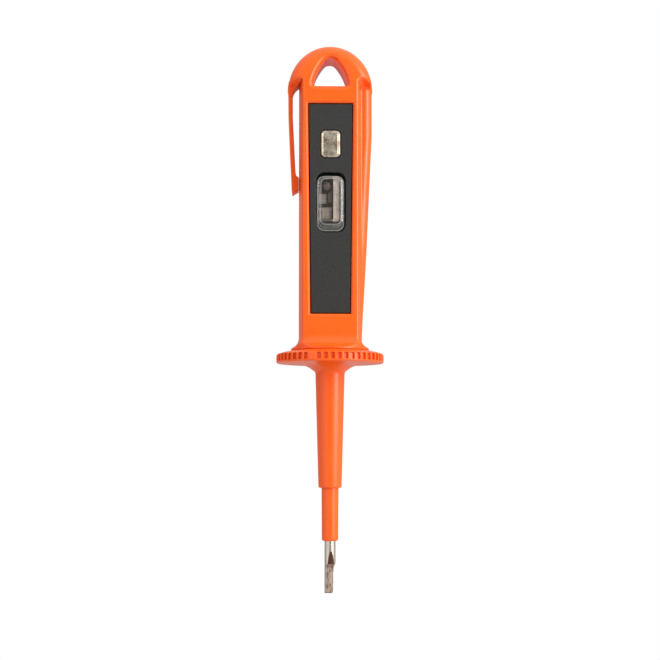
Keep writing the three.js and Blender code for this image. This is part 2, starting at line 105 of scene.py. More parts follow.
HOLE_BASE_Z = 143.4
HOLE_FOOT_Z = 143.2
HOLE_PEAK_Z = 152.6
HOLE_HALF_WIDTH = 5.1
HOLE_BOW_RADIUS = 14.0
HOLE_APEX_RADIUS = 2.2
HOLE_CORNER = 1.1
HOLE_MOUTH = 1.45

# Inside of the handle
ROOM_FOOT_Z = 95.2
ROOM_TOP_Z = 137.6
ROOM_HALF_WIDTH = 5.95
ROOM_FRONT_Y = -6.0
ROOM_BACK_Y = 1.9
BACK_ROOM_HALF_WIDTH = 4.6
BACK_ROOM_FRONT_Y = 1.0
BACK_ROOM_BACK_Y = 5.4
CELL_BORE_RADIUS = 4.3
CELL_BORE_FOOT_Z = 76.0
CELL_BORE_TOP_Z = 96.0
MOUTH_RADIUS = 5.9
MOUTH_TOP_Z = 77.4
MOUTH_THREAD_FOOT_Z = 70.4
THREAD_LEAD = 3.0
THREAD_RIDGE_RADIUS = 0.45
THREAD_SINK = 0.1

# Cover, window and touch pad
COVER_TOP_Z = 138.15
COVER_BOTTOM_Z = 78.5
COVER_TOP_HALF_WIDTH = 6.2
COVER_BOTTOM_HALF_WIDTH = 5.5
COVER_FRONT_Y = -6.4
COVER_BACK_Y = -4.9
SEAT_GAP = 0.24
SEAT_CHAMFER = 0.5
RIB_INNER_X = 4.8
RIB_OUTER_X = 5.5
RIB_BACK_Y = 0.3
RIB_FOOT_Z = 97.0
RIB_TOP_Z = 136.0
WINDOW_X = 0.1
WINDOW_Z = 109.95
WINDOW_HALF_WIDTH = 4.2
WINDOW_HALF_HEIGHT = 8.55
WINDOW_CORNER = 2.4
LENS_Z = 109.68
LENS_HALF_WIDTH = 3.84
LENS_HALF_HEIGHT = 7.85
LENS_CORNER = 2.05
LENS_RAISE = 0.5
LENS_SLOPE_WIDTH = 0.85
PLATEAU_X = 0.11
PLATEAU_Z = 110.22
PLATEAU_HALF_WIDTH = 2.82
PLATEAU_HALF_HEIGHT = 6.52
PLATEAU_CORNER = 1.4
PAD_Z = 126.6
PAD_HALF_WIDTH = 2.7
PAD_HALF_HEIGHT = 3.8
PAD_CORNER = 1.15
PAD_FRONT_Y = -6.88
PAD_GAP = 0.28
PAD_HOLE_CORNER = 1.5
PAD_BEVEL_DEPTH = 0.3
PAD_BEVEL_WIDTH = 0.4
PAD_GROOVE_DEPTH = 0.1
PAD_GROOVE_INSET = 0.55
SHOULDER_REACH = 0.8
SHOULDER_CORNER = 1.6

# Nose
FLANGE_RADIUS = 15.265
FLANGE_EDGE = 0.42
FLANGE_BOTTOM_Z = 64.15
NOTCH_PITCHES = 50
NOTCH_PHASE = 0.16
PLAIN_PITCH = 47
NOTCH_HALF_WIDTH = 0.6
NOTCH_DEPTH = 0.85
NOTCH_LOW_Z = 65.2
NOTCH_HIGH_Z = 67.02
NOSE_BOTTOM_Z = 29.4
NECK_Z = 61.8
SPIGOT_RADIUS = 4.5
SPIGOT_TOP_Z = 77.0
SPIGOT_THREAD_FOOT_Z = 69.6
SPIGOT_THREAD_TOP_Z = 75.6
SLEEVE_SEAT_RADIUS = 2.45
SLEEVE_SEAT_TOP_Z = 33.8
BLADE_BORE_RADIUS = 1.6
BLADE_BORE_TOP_Z = 41.0
REAR_BORE_RADIUS = 2.0
REAR_BORE_FOOT_Z = 40.6
SLEEVE_BOTTOM_Z = 14.5
SLEEVE_TOP_Z = 33.5
BLADE_RADIUS = 1.55
BLADE_TOP_Z = 40.3
BLADE_GRIND_TOP_Z = 12.0
BLADE_TWIST = math.radians(9.0)

# A distance that leaves a piece whole, where a cut or a profile ends
FAR = 9.0

# Profiles of the turned and ground pieces, as (height, distance from the axis)
NOSE_PROFILE = [(NOSE_BOTTOM_Z, 3.28), (NECK_Z, 4.15), (62.3, 4.4), (64.3, 7.1)]
SLEEVE_PROFILE = [(SLEEVE_BOTTOM_Z, 2.31), (NOSE_BOTTOM_Z, 2.41)]
BLADE_FRONT = [(0.0, 0.87), (6.9, 0.95), (7.3, 0.9), (7.7, 0.98), (8.1, 1.24), (8.3, 1.28), (11.5, 1.58)]
BLADE_BACK = [(0.0, 0.12), (5.0, 0.5), (11.5, 1.6), (11.6, FAR)]
BLADE_RIGHT = [(0.0, 0.56), (0.8, 0.72), (5.0, 0.79), (6.6, 0.88), (7.6, 1.05), (8.4, 1.6), (8.5, FAR)]
# The top of the guard, as (distance from the axis, height)
FLANGE_TOP = [(0.0, 68.2), (11.1, 68.2), (13.5, 67.72), (14.8, 67.3), (16.0, 66.7)]

# Mesher
PULL_TURNS = 6
RELAXED_TURNS = (1, 3)
LONGEST_PULL = 0.2
SLOPE_REACH = 0.01

# Stage, in metres and degrees
FLOOR_RADIUS = 2.6
FLOOR_Z = -0.35
CAMERA_AZIMUTH = -1.5
CAMERA_ELEVATION = -4.4
CAMERA_DISTANCE = 0.465
CAMERA_TARGET_Z = 0.0742
CAMERA_LENS_MM = 89.0
LAMP_PLACE = (0.62, -0.5, 0.34)
LAMP_TARGET = (0.0, 0.0, 0.07)
LAMP_POWER = 8.0
LAMP_WIDTH = 0.4
LAMP_HEIGHT = 0.7
WORLD_LEVEL = 0.54
# Brighter and dimmer parts of the world: towards, inner and outer degrees, gain, flattening
WORLD_PATCHES = [
    ((0.0, 0.0, 1.0), 10.0, 75.0, 0.7, 1.0),
    ((0.0, 0.0, -1.0), 20.0, 80.0, -0.42, 1.0),
    ((0.0, 1.0, 0.0), 20.0, 70.0, -0.16, 1.0),
    ((0.85, -0.52, 0.0), 20.0, 60.0, 0.6, 1.0),
    ((-0.8, -0.6, 0.0), 16.0, 44.0, 0.8, 1.0),
    ((0.14, -0.99, 0.0), 5.0, 19.0, -0.5, 0.3),
]


# ---- Fields --------------------------------------------------------------------------------

def meet(a, b, radius=None):
    """Both fields at once, with a convex rounded edge between them."""
    if radius is None:
        return np.maximum(a, b)
    inner = np.minimum(np.maximum(a, b) + radius, 0.0)
    return inner + np.hypot(np.maximum(a + radius, 0.0), np.maximum(b + radius, 0.0)) - radius


def join(a, b, radius=None):
    """Either field, with a concave cove of a radius between them."""
    return -meet(-a, -b, radius)


def cut(a, b, radius=None):
    return meet(a, -b, radius)


def span(value, low, high):
    """A slab between two values."""
    return np.maximum(low - value, value - high)


def rounded_box2(u, v, half_u, half_v, radius):
    """Signed distance to a rectangle with round corners."""
    qu = np.abs(u) - half_u + radius
    qv = np.abs(v) - half_v + radius
    outside = np.hypot(np.maximum(qu, 0.0), np.maximum(qv, 0.0))
    return outside + np.minimum(np.maximum(qu, qv), 0.0) - radius


def polygon2(u, v, corners):
    """Signed distance to an outline of straight edges."""
    shape = np.broadcast(u, v).shape
    nearest = np.full(shape, np.inf)
    inside = np.zeros(shape, bool)
    for (u0, v0), (u1, v1) in zip(corners, corners[1:] + corners[:1]):
        du, dv = u1 - u0, v1 - v0
        share = np.clip(((u - u0) * du + (v - v0) * dv) / (du * du + dv * dv), 0.0, 1.0)
        nearest = np.minimum(nearest, np.hypot(u - u0 - share * du, v - v0 - share * dv))
        if dv != 0.0:
            inside ^= ((v0 <= v) != (v1 <= v)) & (u0 + (v - v0) * du / dv > u)
    return np.where(inside, -nearest, nearest)


def ellipse2(u, v, half_u, half_v):
    """Nearly the signed distance to an ellipse."""
    k0 = np.hypot(u / half_u, v / half_v)
    k1 = np.hypot(u / half_u ** 2, v / half_v ** 2)
    return k0 * (k0 - 1.0) / np.maximum(k1, 1e-6)


def smoothstep(value, low, high):
    t = np.clip((value - low) / (high - low), 0.0, 1.0)
    return t * t * (3.0 - 2.0 * t)


def along(value, profile):
    """Straight lines through a profile's points."""
    return np.interp(value, *zip(*profile))


def thread_ridge(x, y, z, radius, low, high):
    """A round ridge along a right-hand thread, between two heights."""
    turn = np.arctan2(y, x) / (2.0 * math.pi) * THREAD_LEAD
    offset = (z - low - turn + THREAD_LEAD / 2.0) % THREAD_LEAD - THREAD_LEAD / 2.0
    ridge = np.hypot(np.hypot(x, y) - radius, offset) - THREAD_RIDGE_RADIUS
    return np.maximum(ridge, span(z, low, high))


# ---- From a field to a mesh ----------------------------------------------------------------

def field_slopes(field, points, reach):
    """How fast the field grows along each axis at each point."""
    x, y, z = points.T
    return np.stack([
        field(x + reach, y, z) - field(x - reach, y, z),
        field(x, y + reach, z) - field(x, y - reach, z),
        field(x, y, z + reach) - field(x, y, z - reach)], axis=1) / (2.0 * reach)


def surface_net(field, axes):
    """Points and quads of the field's zero surface on a grid with the given axis values."""
    grid = np.meshgrid(*axes, indexing="ij")
    values = field(*grid).astype(np.float32)
    inside = values < 0.0
    low, high = slice(None, -1), slice(1, None)
    corners = [(i, j, k) for i in (low, high) for j in (low, high) for k in (low, high)]
    filled = sum(inside[c].astype(np.uint8) for c in corners)
    active = (filled > 0) & (filled < 8)
    number = np.full(active.shape, -1, np.int64)
    number[active] = np.arange(int(active.sum()))
    cells = np.argwhere(active)
    total = np.zeros((len(cells), 3))
    count = np.zeros(len(cells))
    for axis in range(3):
        others = [a for a in range(3) if a != axis]
        for first in (0, 1):
            for second in (0, 1):
                start = cells.copy()
                start[:, others[0]] += first
                start[:, others[1]] += second
                end = start.copy()
                end[:, axis] += 1
                f0 = values[tuple(start.T)]
                f1 = values[tuple(end.T)]
                crossing = (f0 < 0.0) != (f1 < 0.0)
                share = np.where(crossing, f0 / np.where(crossing, f0 - f1, 1.0), 0.0)
                for a in range(3):
                    place = axes[a][start[:, a]]
                    if a == axis:
                        place = place + share * (axes[a][end[:, a]] - place)
                    total[:, a] += np.where(crossing, place, 0.0)
                count += crossing
    points = total / count[:, None]
    quads = []
    for axis in range(3):
        u, v = (axis + 1) % 3, (axis + 2) % 3
        start = [slice(None)] * 3
        end = [slice(None)] * 3
        start[axis], end[axis] = low, high
        for a in (u, v):
            start[a] = end[a] = slice(1, -1)
        crossing = inside[tuple(start)] != inside[tuple(end)]
        edges = np.argwhere(crossing)
        outward = inside[tuple(start)][crossing]
        edges[:, u] += 1
        edges[:, v] += 1
        around = []
        for du, dv in ((-1, -1), (0, -1), (0, 0), (-1, 0)):
            cell = edges.copy()
            cell[:, u] += du
            cell[:, v] += dv
            around.append(number[tuple(cell.T)])
        quad = np.stack(around, axis=1)
        quad[~outward] = quad[~outward][:, ::-1]
        quads.append(quad)
    return points, np.concatenate(quads)


def steps(*stretches):
    """Grid values from (start, step) pairs and a last end value."""
    values = []
    for (start, step), following in zip(stretches[:-1], stretches[1:]):
        end = following[0] if isinstance(following, tuple) else following
        count = max(1, round((end - start) / step))
        values.append(np.linspace(start, end, count, endpoint=False))
    values.append(np.array([stretches[-1]]))
    return np.concatenate(values)


def relaxed(points, quads):
    """Each point moved halfway to the middle of its neighbours."""
    total = np.zeros_like(points)
    count = np.zeros(len(points))
    for corner in range(4):
        here, beside = quads[:, corner], quads[:, (corner + 1) % 4]
        for a, b in ((here, beside), (beside, here)):
            for axis in range(3):
                total[:, axis] += np.bincount(a, points[b, axis], len(points))
            count += np.bincount(a, minlength=len(points))
    return 0.5 * points + 0.5 * total / count[:, None]


def field_piece(name, field, axes, body, node, material, crease=0.05, shading=None):
    """A mesh of a field's surface, pulled onto the true surface, that stands for a CAD node.

    The normals come from the shading field, which leaves out an end that meets another piece.
    """
    points, quads = surface_net(field, axes)
    for turn in range(PULL_TURNS):
        if turn in RELAXED_TURNS:
            points = relaxed(points, quads)
        slope = field_slopes(field, points, SLOPE_REACH)
        steep = np.maximum((slope ** 2).sum(axis=1), 0.05)
        move = field(*points.T)[:, None] * slope / steep[:, None]
        points = points - np.clip(move, -LONGEST_PULL, LONGEST_PULL)
    normals = field_slopes(shading or field, points, crease)
    normals /= np.maximum(np.linalg.norm(normals, axis=1, keepdims=True), 1e-9)
    mesh = bpy.data.meshes.new(name)
    mesh.from_pydata((points * MM).tolist(), [], quads.tolist())
    mesh.polygons.foreach_set("use_smooth", [True] * len(mesh.polygons))
    mesh.normals_split_custom_set_from_vertices(normals.tolist())
    mesh.materials.append(material)
    mesh.update()
    piece = bpy.data.objects.new(name, mesh)
    bpy.context.collection.objects.link(piece)
    if body is not None:
        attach(piece, body)
    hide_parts(node)
    return piece


def mark(piece, name, values):
    """Stores a value for each of a piece's points, which its material reads."""
    attribute = piece.data.attributes.new(name, "FLOAT", "POINT")
    attribute.data.foreach_set("value", values.astype(np.float32))


# ---- Materials -----------------------------------------------------------------------------

def srgb(red, green, blue):
    """A colour given as it looks on screen, 0 to 255, as the linear colour that a shader takes."""
    channels = [c / 255.0 for c in (red, green, blue)]
    return [c / 12.92 if c <= 0.04045 else ((c + 0.055) / 1.055) ** 2.4 for c in channels] + [1.0]


class Look:
    """A Principled material with a short way to wire nodes to it."""

    def __init__(self, name, roughness, metallic=0.0, **sockets):
        self.material = bpy.data.materials.new(name)
        self.material.use_nodes = True
        self.tree = self.material.node_tree
        self.shader = self.tree.nodes["Principled BSDF"]
        self.shader.inputs["Roughness"].default_value = roughness
        self.shader.inputs["Metallic"].default_value = metallic
        for socket, value in sockets.items():
            self.shader.inputs[socket.replace("_", " ")].default_value = value
        self.place = self.node("ShaderNodeTexCoord").outputs["Object"]
        self.relief = None

    def node(self, kind, **values):
        made = self.tree.nodes.new(kind)
        for key, value in values.items():
            setattr(made, key, value)
        return made

    def wire(self, source, target):
        self.tree.links.new(source, target)

    def stretched(self, x=1.0, y=1.0, z=1.0):
        """The piece's own coordinates, scaled along each axis."""
        mapping = self.node("ShaderNodeMapping")
        mapping.inputs["Scale"].default_value = (x, y, z)
        self.wire(self.place, mapping.inputs["Vector"])
        return mapping.outputs["Vector"]

    def noise(self, size, detail=2.0, vector=None):
        """Noise with features about size millimetres across."""
        made = self.node("ShaderNodeTexNoise")
        made.inputs["Scale"].default_value = 1.0 / (size * MM)
        made.inputs["Detail"].default_value = detail
        self.wire(vector or self.place, made.inputs["Vector"])
        return made.outputs["Fac"]

    def ramp(self, value, low, high, to_low=0.0, to_high=1.0):
        made = self.node("ShaderNodeMapRange")
        limits = {"From Min": low, "From Max": high, "To Min": to_low, "To Max": to_high}
        for socket, number in limits.items():
            made.inputs[socket].default_value = number
        self.wire(value, made.inputs["Value"])
        return made.outputs["Result"]

    def blend(self, factor, first, second):
        """A colour between two others, either of which may be another node's colour."""
        made = self.node("ShaderNodeMix", data_type="RGBA")
        for socket, colour in ((made.inputs[6], first), (made.inputs[7], second)):
            if isinstance(colour, list):
                socket.default_value = colour
            else:
                self.wire(colour, socket)
        self.wire(factor, made.inputs[0])
        return made.outputs[2]

    def colour(self, colour):
        self.wire(colour, self.shader.inputs["Base Color"])

    def roughness(self, value):
        self.wire(value, self.shader.inputs["Roughness"])

    def bump(self, height, depth, strength=1.0):
        """Adds relief, depth in millimetres, over any relief already there."""
        made = self.node("ShaderNodeBump")
        made.inputs["Strength"].default_value = strength
        made.inputs["Distance"].default_value = depth * MM
        self.wire(height, made.inputs["Height"])
        if self.relief is not None:
            self.wire(self.relief, made.inputs["Normal"])
        self.relief = made.outputs["Normal"]
        self.wire(self.relief, self.shader.inputs["Normal"])


def orange_plastic():
    look = Look("orange_plastic", 0.3, Specular_IOR_Level=0.4)
    tone = look.ramp(look.noise(9.0), 0.35, 0.65)
    look.colour(look.blend(tone, [0.90, 0.106, 0.004, 1.0], [0.87, 0.097, 0.003, 1.0]))
    look.roughness(look.ramp(look.noise(1.2, 3.0), 0.3, 0.7, 0.27, 0.37))
    look.bump(look.noise(0.35, 2.0), 0.006, 0.6)
    look.bump(look.noise(4.0, 1.0), 0.02, 0.35)
    return look.material


def dark_plastic():
    """Fine spark-eroded grain that stays matt."""
    look = Look("dark_cover_plastic", 0.62, Specular_IOR_Level=0.4)
    tone = look.ramp(look.noise(0.5, 3.0), 0.35, 0.65)
    look.colour(look.blend(tone, srgb(26, 25, 24), srgb(36, 35, 34)))
    look.roughness(look.ramp(look.noise(0.4), 0.3, 0.7, 0.55, 0.7))
    look.bump(look.noise(0.22, 2.0), 0.02, 0.9)
    return look.material


def clear_plastic():
    """Clear acrylic that lets the lamps' light through to what is behind it."""
    look = Look("clear_lens_plastic", 0.07, Transmission_Weight=1.0, IOR=1.49)
    # The mark is a little haze, plus painted highlight lines, where the lens turns frosted grey instead of
    # catching light at its bevels.
    haze_and_painted_glint = look.node("ShaderNodeAttribute", attribute_name="haze_and_painted_glint").outputs["Fac"]
    look.colour(look.blend(haze_and_painted_glint, srgb(226, 221, 216), srgb(176, 170, 166)))
    look.roughness(look.ramp(haze_and_painted_glint, 0.0, 1.0, 0.07, 0.5))
    look.wire(look.ramp(haze_and_painted_glint, 0.0, 1.0, 1.0, 0.1), look.shader.inputs["Transmission Weight"])
    look.bump(look.noise(1.6, 1.0), 0.02, 0.25)
    path = look.node("ShaderNodeLightPath")
    clear = look.node("ShaderNodeBsdfTransparent")
    clear.inputs["Color"].default_value = (0.9, 0.89, 0.88, 1.0)
    mix = look.node("ShaderNodeMixShader")
    look.wire(path.outputs["Is Shadow Ray"], mix.inputs[0])
    look.wire(look.shader.outputs["BSDF"], mix.inputs[1])
    look.wire(clear.outputs["BSDF"], mix.inputs[2])
    look.wire(mix.outputs["Shader"], look.tree.nodes["Material Output"].inputs["Surface"])
    return look.material


def pad_metal():
    """Plated touch pad with small pits and a worn, uneven gloss."""
    look = Look("touch_metal_plating", 0.34, 0.85)
    worn = look.ramp(look.noise(2.2, 3.0), 0.4, 0.62)
    base = look.blend(worn, srgb(194, 184, 166), srgb(154, 138, 118))
    pits = look.ramp(look.noise(0.45, 2.0), 0.6, 0.68)
    look.colour(look.blend(pits, base, srgb(98, 86, 76)))
    look.roughness(look.ramp(look.noise(0.9, 3.0), 0.3, 0.7, 0.26, 0.46))
    look.bump(look.noise(0.4, 2.0), 0.02, 0.7)
    return look.material


def blade_metal():
    """Drawn bar with lengthwise lines, and a painted dark brown reflection on the ramp where the grinding
    began.
    """
    look = Look("blade_metal_plating", 0.26, 1.0)
    lines = look.noise(0.35, 3.0, look.stretched(1.0, 1.0, 0.06))
    tone = look.blend(look.ramp(lines, 0.35, 0.65), srgb(214, 205, 192), srgb(186, 174, 160))
    ground = look.node("ShaderNodeAttribute", attribute_name="ground").outputs["Fac"]
    ramp = look.node("ShaderNodeAttribute", attribute_name="ramp").outputs["Fac"]
    scratches = look.ramp(look.noise(0.5, 4.0, look.stretched(1.0, 1.0, 0.35)), 0.45, 0.62)
    face = look.blend(scratches, srgb(208, 184, 168), srgb(142, 116, 100))
    metal = look.blend(ground, tone, face)
    # The ramp mark lays this dark brown over the metal: a painted reflection on the ramp, and painted shade
    # below the step and along the tip's bottom edge.
    look.colour(look.blend(ramp, metal, srgb(104, 74, 62)))
    look.roughness(look.ramp(lines, 0.3, 0.7, 0.2, 0.36))
    look.bump(lines, 0.01, 0.5)
    return look.material


def plain_metal(name, colour, roughness):
    """Metal with faint patches of a darker tone."""
    look = Look(name, roughness, 1.0)
    shade = [c * 0.82 for c in colour[:3]] + [1.0]
    look.colour(look.blend(look.ramp(look.noise(0.8, 3.0), 0.35, 0.7), colour, shade))
    look.roughness(look.ramp(look.noise(0.5, 2.0), 0.3, 0.7, roughness - 0.06, roughness + 0.1))
    look.bump(look.noise(0.3, 2.0), 0.006, 0.5)
    return look.material


def plain_solid(name, colour, roughness):
    """Moulded or fired material with faint patches of a darker tone."""
    look = Look(name, roughness)
    shade = [c * 0.78 for c in colour[:3]] + [1.0]
    look.colour(look.blend(look.ramp(look.noise(1.1, 3.0), 0.35, 0.7), colour, shade))
    look.roughness(look.ramp(look.noise(0.6, 2.0), 0.3, 0.7, roughness - 0.05, roughness + 0.08))
    look.bump(look.noise(0.3, 2.0), 0.01, 0.6)
    return look.material


def board_laminate():
    """Green solder mask over a glass weave."""
    look = Look("board_laminate_mask", 0.4)
    weave = look.node("ShaderNodeTexWave", bands_direction="DIAGONAL")
    weave.inputs["Scale"].default_value = 1.0 / (1.5 * MM)
    look.wire(look.place, weave.inputs["Vector"])
    look.colour(look.blend(weave.outputs["Fac"], srgb(36, 92, 58), srgb(30, 80, 50)))
    look.bump(weave.outputs["Fac"], 0.008, 0.4)
    return look.material


def tray_plastic():
    """Reflector, white on its right wall, with painted shade turning it grey everywhere else."""
    look = Look("tray_reflector_plastic", 0.45)
    side = look.node("ShaderNodeSeparateXYZ")
    look.wire(look.place, side.inputs[0])
    # Painted shade: left of a line just right of the middle, the tray takes a dark grey for the shadow
    # inside the window. Only the right wall keeps its white.
    right = look.ramp(side.outputs["X"], 0.3 * MM, 0.9 * MM)
    mottled = look.ramp(look.noise(1.0, 3.0), 0.35, 0.65)
    bright = look.blend(mottled, srgb(214, 208, 200), srgb(176, 168, 160))
    painted_shade_grey = look.blend(mottled, srgb(96, 91, 88), srgb(78, 74, 71))
    look.colour(look.blend(right, painted_shade_grey, bright))
    look.bump(look.noise(0.4, 2.0), 0.02, 0.6)
    return look.material


def led_plastic(name, colour):
    look = Look(name, 0.12, Transmission_Weight=0.35, IOR=1.5)
    shade = [c * 0.7 for c in colour[:3]] + [1.0]
    look.colour(look.blend(look.ramp(look.noise(1.0, 2.0), 0.3, 0.7), colour, shade))
    look.bump(look.noise(0.7, 1.0), 0.02, 0.4)
    return look.material


MATERIALS = {
    "orange_plastic": orange_plastic(),
    "dark_cover": dark_plastic(),
    "clear_lens": clear_plastic(),
    "touch_metal": pad_metal(),
    "blade_metal": blade_metal(),
    "spring_steel": plain_metal("spring_steel_wire", srgb(190, 189, 184), 0.24),
    "contact_brass": plain_metal("contact_brass_sheet", srgb(196, 160, 92), 0.3),
    "cell_steel": plain_metal("cell_steel_can", srgb(196, 196, 192), 0.22),
    "board_laminate": board_laminate(),
    "chip_black": plain_solid("chip_black_epoxy", srgb(34, 34, 36), 0.5),
    "ceramic": plain_solid("ceramic_body", srgb(150, 142, 132), 0.6),
    "tray_plastic": tray_plastic(),
    "led_red": led_plastic("led_red_epoxy", srgb(138, 118, 116)),
    "led_green": led_plastic("led_green_epoxy", srgb(116, 112, 96)),
}


# ---- Handle --------------------------------------------------------------------------------

def rail_half_width(z):
    """Half the width over the rails, with a slight bulge on the way down to the core's."""
    t = np.clip((RAIL_STRAIGHT_Z - z) / (RAIL_STRAIGHT_Z - RAIL_FOOT_Z), 0.0, 1.0)
    return HEAD_HALF_WIDTH - t * (HEAD_HALF_WIDTH - CORE_HALF_WIDTH) + RAIL_BULGE * t * t * (1.0 - t)


def core_field(x, y):
    """The straight part of the handle: sides with draft from the parting plane, and a crowned face."""
    side = np.abs(x) - CORE_HALF_WIDTH + CORE_DRAFT * np.abs(y) / CORE_HALF_DEPTH
    face = np.abs(y) - CORE_HALF_DEPTH + CORE_CROWNING * (x / CORE_HALF_WIDTH) ** 4
    return meet(side, face, CORE_EDGE)


def channel_field(x, y, z):
    """The steps beside the core, in front of and behind the rails, with their sloped round ends."""
    across = np.abs(x) - CORE_HALF_WIDTH - CHANNEL_RADIUS + CORE_DRAFT * np.abs(y) / CORE_HALF_DEPTH
    across = np.where(across > 0.0, 0.5 * across, across)
    rise = z - CHANNEL_END_Z - CHANNEL_SLOPE * (np.abs(y) - RAIL_HALF_DEPTH)
    arch = np.hypot(across, np.maximum(rise, 0.0)) - CHANNEL_RADIUS
    return np.where(rise > 0.0, arch, -across - CHANNEL_RADIUS)


def clip_slot_field(x, y, z):
    """The gap between the clip's root and the core, with its bent, slanted end."""
    bend = np.clip(z - CROWN_FOOT_Z, 0.0, CLIP_ROOT_BEND)
    straight = np.maximum(z - CROWN_FOOT_Z - CLIP_ROOT_BEND, 0.0)
    strip = CLIP_INNER_X + CLIP_ROOT_SLOPE * (0.5 * bend * bend / CLIP_ROOT_BEND + straight)
    core = x + CORE_HALF_WIDTH - CORE_DRAFT * np.abs(y) / CORE_HALF_DEPTH
    return meet(core, strip - x, 0.15)


def crown_field(x, y, z, foot):
    """The domed head above the core, down to a foot height."""
    dome = ellipse2(x, np.maximum(z - DOME_CENTRE_Z, 0.0), HEAD_HALF_WIDTH, LENGTH - DOME_CENTRE_Z)
    depth = CORE_HALF_DEPTH - HEAD_THINNING * smoothstep(z, DOME_CENTRE_Z + 1.0, LENGTH)
    block = meet(dome, np.abs(y) - depth + CORE_CROWNING * (x / CORE_HALF_WIDTH) ** 4, HEAD_EDGE)
    block = cut(block, channel_field(x, y, z), CORE_EDGE)
    rail = meet(dome, np.abs(y) - RAIL_HALF_DEPTH, np.where(x > 0.0, RAIL_EDGE, CLIP_EDGE))
    rail = np.maximum(rail, z - CHANNEL_END_Z - 2.0 * CHANNEL_RADIUS)
    block = np.maximum(join(block, rail, RAIL_COVE), foot - z)
    return cut(block, clip_slot_field(x, y, z), 0.3)


def rail_field(x, y, z):
    """The rail down the right side, opposite the clip."""
    side = meet(x - rail_half_width(z), np.abs(y) - RAIL_HALF_DEPTH, RAIL_EDGE)
    return np.maximum(side, np.maximum(RAIL_ROOT_X - x, z - DOME_CENTRE_Z - 0.5))


def hole_side(x, z):
    """One bowed side of the hang hole, from its foot to the peak where both sides would meet."""
    rise = HOLE_PEAK_Z - HOLE_FOOT_Z
    chord = math.hypot(HOLE_HALF_WIDTH, rise)
    sink = math.sqrt(HOLE_BOW_RADIUS ** 2 - chord ** 2 / 4.0)
    centre_x = HOLE_HALF_WIDTH / 2.0 - sink * rise / chord
    centre_z = (HOLE_FOOT_Z + HOLE_PEAK_Z) / 2.0 - sink * HOLE_HALF_WIDTH / chord
    return np.hypot(x - centre_x, z - centre_z) - HOLE_BOW_RADIUS


def hang_hole_field(x, z):
    sides = meet(hole_side(x, z), hole_side(-x, z), HOLE_APEX_RADIUS)
    return meet(sides, HOLE_BASE_Z - z, HOLE_CORNER)


def cover_outline(x, z):
    """Distance to the cover's trapezoid outline."""
    slant = (COVER_TOP_HALF_WIDTH - COVER_BOTTOM_HALF_WIDTH) / (COVER_TOP_Z - COVER_BOTTOM_Z)
    side = np.abs(x) - COVER_BOTTOM_HALF_WIDTH - slant * (z - COVER_BOTTOM_Z)
    return np.maximum(side / math.hypot(1.0, slant), span(z, COVER_BOTTOM_Z, COVER_TOP_Z))


def room_field(x, y, z):
    """The inside of the handle: board room, cell bore and threaded mouth."""
    board = np.maximum(np.abs(x) - ROOM_HALF_WIDTH, span(y, ROOM_FRONT_Y, ROOM_BACK_Y))
    behind = np.maximum(np.abs(x) - BACK_ROOM_HALF_WIDTH, span(y, BACK_ROOM_FRONT_Y, BACK_ROOM_BACK_Y))
    rooms = np.maximum(np.minimum(board, behind), span(z, ROOM_FOOT_Z, ROOM_TOP_Z))
    around = np.hypot(x, y)
    cells = np.maximum(around - CELL_BORE_RADIUS, span(z, CELL_BORE_FOOT_Z, CELL_BORE_TOP_Z))
    thread = thread_ridge(x, y, z, MOUTH_RADIUS - THREAD_SINK, MOUTH_THREAD_FOOT_Z, CELL_BORE_FOOT_Z)
    mouth = cut(np.maximum(around - MOUTH_RADIUS, z - MOUTH_TOP_Z), thread)
    return np.minimum(rooms, np.minimum(cells, mouth))


def housing_field(x, y, z, crown_foot=CROWN_FOOT_Z):
    """The whole housing: core with its flared foot, rail and crown, less seat, hang hole and rooms."""
    core = np.maximum(core_field(x, y), np.maximum(z - CORE_TOP_Z, CORE_BOTTOM_Z - z))
    towards_face = np.abs(y) / CORE_HALF_DEPTH - np.abs(x) / CORE_HALF_WIDTH
    cove = COVE_RADIUS + COVE_WIDENING * smoothstep(towards_face, -0.4, 0.6)
    foot = join(core_field(x, y), z - FLARE_FOOT_Z, cove)
    foot = meet(np.maximum(foot, CORE_BOTTOM_Z - z), np.hypot(x, y) - FLARE_RADIUS, 0.25)
    foot = np.maximum(foot, z - RAIL_FOOT_Z - 1.0)
    body = join(core, rail_field(x, y, z), RAIL_COVE)
    body = join(join(body, crown_field(x, y, z, crown_foot)), foot)
    outline = cover_outline(x, z)
    seat = np.maximum(outline - SEAT_GAP, y - COVER_BACK_Y - 0.1)
    chamfer = (outline + y + CORE_HALF_DEPTH - SEAT_GAP - SEAT_CHAMFER) / math.sqrt(2.0)
    body = cut(body, np.minimum(seat, chamfer), 0.1)
    body = cut(body, hang_hole_field(x, z), HOLE_MOUTH)
    return cut(body, room_field(x, y, z))


# The clip from its root to its tip and up the inner side, less its rounding.
CLIP_OUTLINE = [(-11.8, 143.2), (-11.77, 136.0), (-11.35, 126.0), (-11.05, 120.0), (-10.8, 114.6),
                (-10.6, 113.15), (-10.25, 113.5), (-9.17, 114.1), (-9.17, 117.6), (-9.9, 118.15),
                (-10.13, 119.4), (-10.45, 126.0), (-10.9, 135.0), (-10.9, 143.2)]


def clip_strip_field(x, y, z):
    shape = polygon2(x, z, CLIP_OUTLINE) - CLIP_ROUNDING
    return meet(shape, np.abs(y) - RAIL_HALF_DEPTH, CLIP_EDGE)


def clip_field(x, y, z):
    return np.maximum(clip_strip_field(x, y, z), z - CROWN_FOOT_Z)


